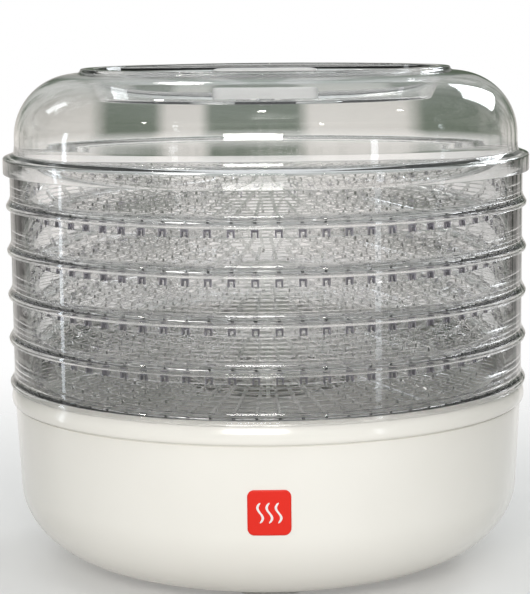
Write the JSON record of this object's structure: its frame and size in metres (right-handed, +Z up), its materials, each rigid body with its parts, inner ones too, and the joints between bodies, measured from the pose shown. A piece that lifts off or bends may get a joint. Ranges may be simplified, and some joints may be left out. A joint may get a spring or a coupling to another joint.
{
  "type": "food dehydrator",
  "caption": "Round countertop food dehydrator: heated white base, stack of clear lattice-floored trays, and a clear domed lid with a turning air vent.",
  "frame": {"origin": "on the resting plane, under the centre of the base", "axes": "+Z up along the axis of the round stack; the badge faces -Y and the cord gland is at +Y; +X is to the right of someone who faces the badge"},
  "size_m": [0.3276, 0.3276, 0.312],
  "materials": {
    "housing_white": "glossy warm white moulded plastic",
    "clear_plastic": "clear moulded plastic with a faint grey tint",
    "frosted_plastic": "frosted clear plastic",
    "badge_red": "glossy red label",
    "foot_grey": "pale grey soft plastic",
    "aluminium_sheet": "bare pressed sheet",
    "steel": "zinc plated",
    "coil_wire": "oxidised resistance wire",
    "mica": "layered mica board",
    "ceramic": "unglazed ceramic",
    "black_plastic": "moulded phenolic",
    "gland_plastic": "satin moulded plastic",
    "sleeve_cream": "woven glass sleeve",
    "lead_brown": "silicone insulation",
    "lead_blue": "silicone insulation"
  },
  "bodies": {
    "base": {"base_bowl": "housing_white", "top_housing": "housing_white", "heater_guard": "housing_white", "reflector_dish": "aluminium_sheet", "mica_board_long": "mica", "mica_board_cross": "mica", "heater_coil": "coil_wire", "ceramic_bushes": "ceramic", "thermostat": "black_plastic", "thermal_fuse": "steel", "terminal_block": "ceramic", "live_lead": "lead_brown", "link_lead": "sleeve_cream", "fuse_lead": "sleeve_cream", "neutral_lead": "lead_blue", "cord_gland": "gland_plastic", "housing_screws": "steel", "foot_front": "foot_grey", "foot_left": "foot_grey", "foot_back": "foot_grey", "foot_right": "foot_grey", "badge": "badge_red"},
    "tray_1": {"tray_1": "clear_plastic"},
    "tray_2": {"tray_2": "clear_plastic"},
    "tray_3": {"tray_3": "clear_plastic"},
    "tray_4": {"tray_4": "clear_plastic"},
    "tray_5": {"tray_5": "clear_plastic"},
    "lid": {"lid": "clear_plastic"},
    "vent": {"vent_disc": "clear_plastic", "vent_grip": "frosted_plastic", "vent_clip": "steel"}
  },
  "joints": [
    {"name": "tray_5_lift", "type": "slide", "parent": "base", "child": "tray_5", "axis": [0, 0, 1], "range_m": [0, 0.08]},
    {"name": "tray_4_lift", "type": "slide", "parent": "tray_5", "child": "tray_4", "axis": [0, 0, 1], "range_m": [0, 0.08]},
    {"name": "tray_3_lift", "type": "slide", "parent": "tray_4", "child": "tray_3", "axis": [0, 0, 1], "range_m": [0, 0.08]},
    {"name": "tray_2_lift", "type": "slide", "parent": "tray_3", "child": "tray_2", "axis": [0, 0, 1], "range_m": [0, 0.08]},
    {"name": "tray_1_lift", "type": "slide", "parent": "tray_2", "child": "tray_1", "axis": [0, 0, 1], "range_m": [0, 0.08]},
    {"name": "lid_lift", "type": "slide", "parent": "tray_1", "child": "lid", "axis": [0, 0, 1], "range_m": [0, 0.12]},
    {"name": "vent_turn", "type": "hinge", "parent": "lid", "child": "vent", "pos_m": [0, 0, 0.294], "axis": [0, 0, 1], "range_deg": [0, 22.5]}
  ]
}
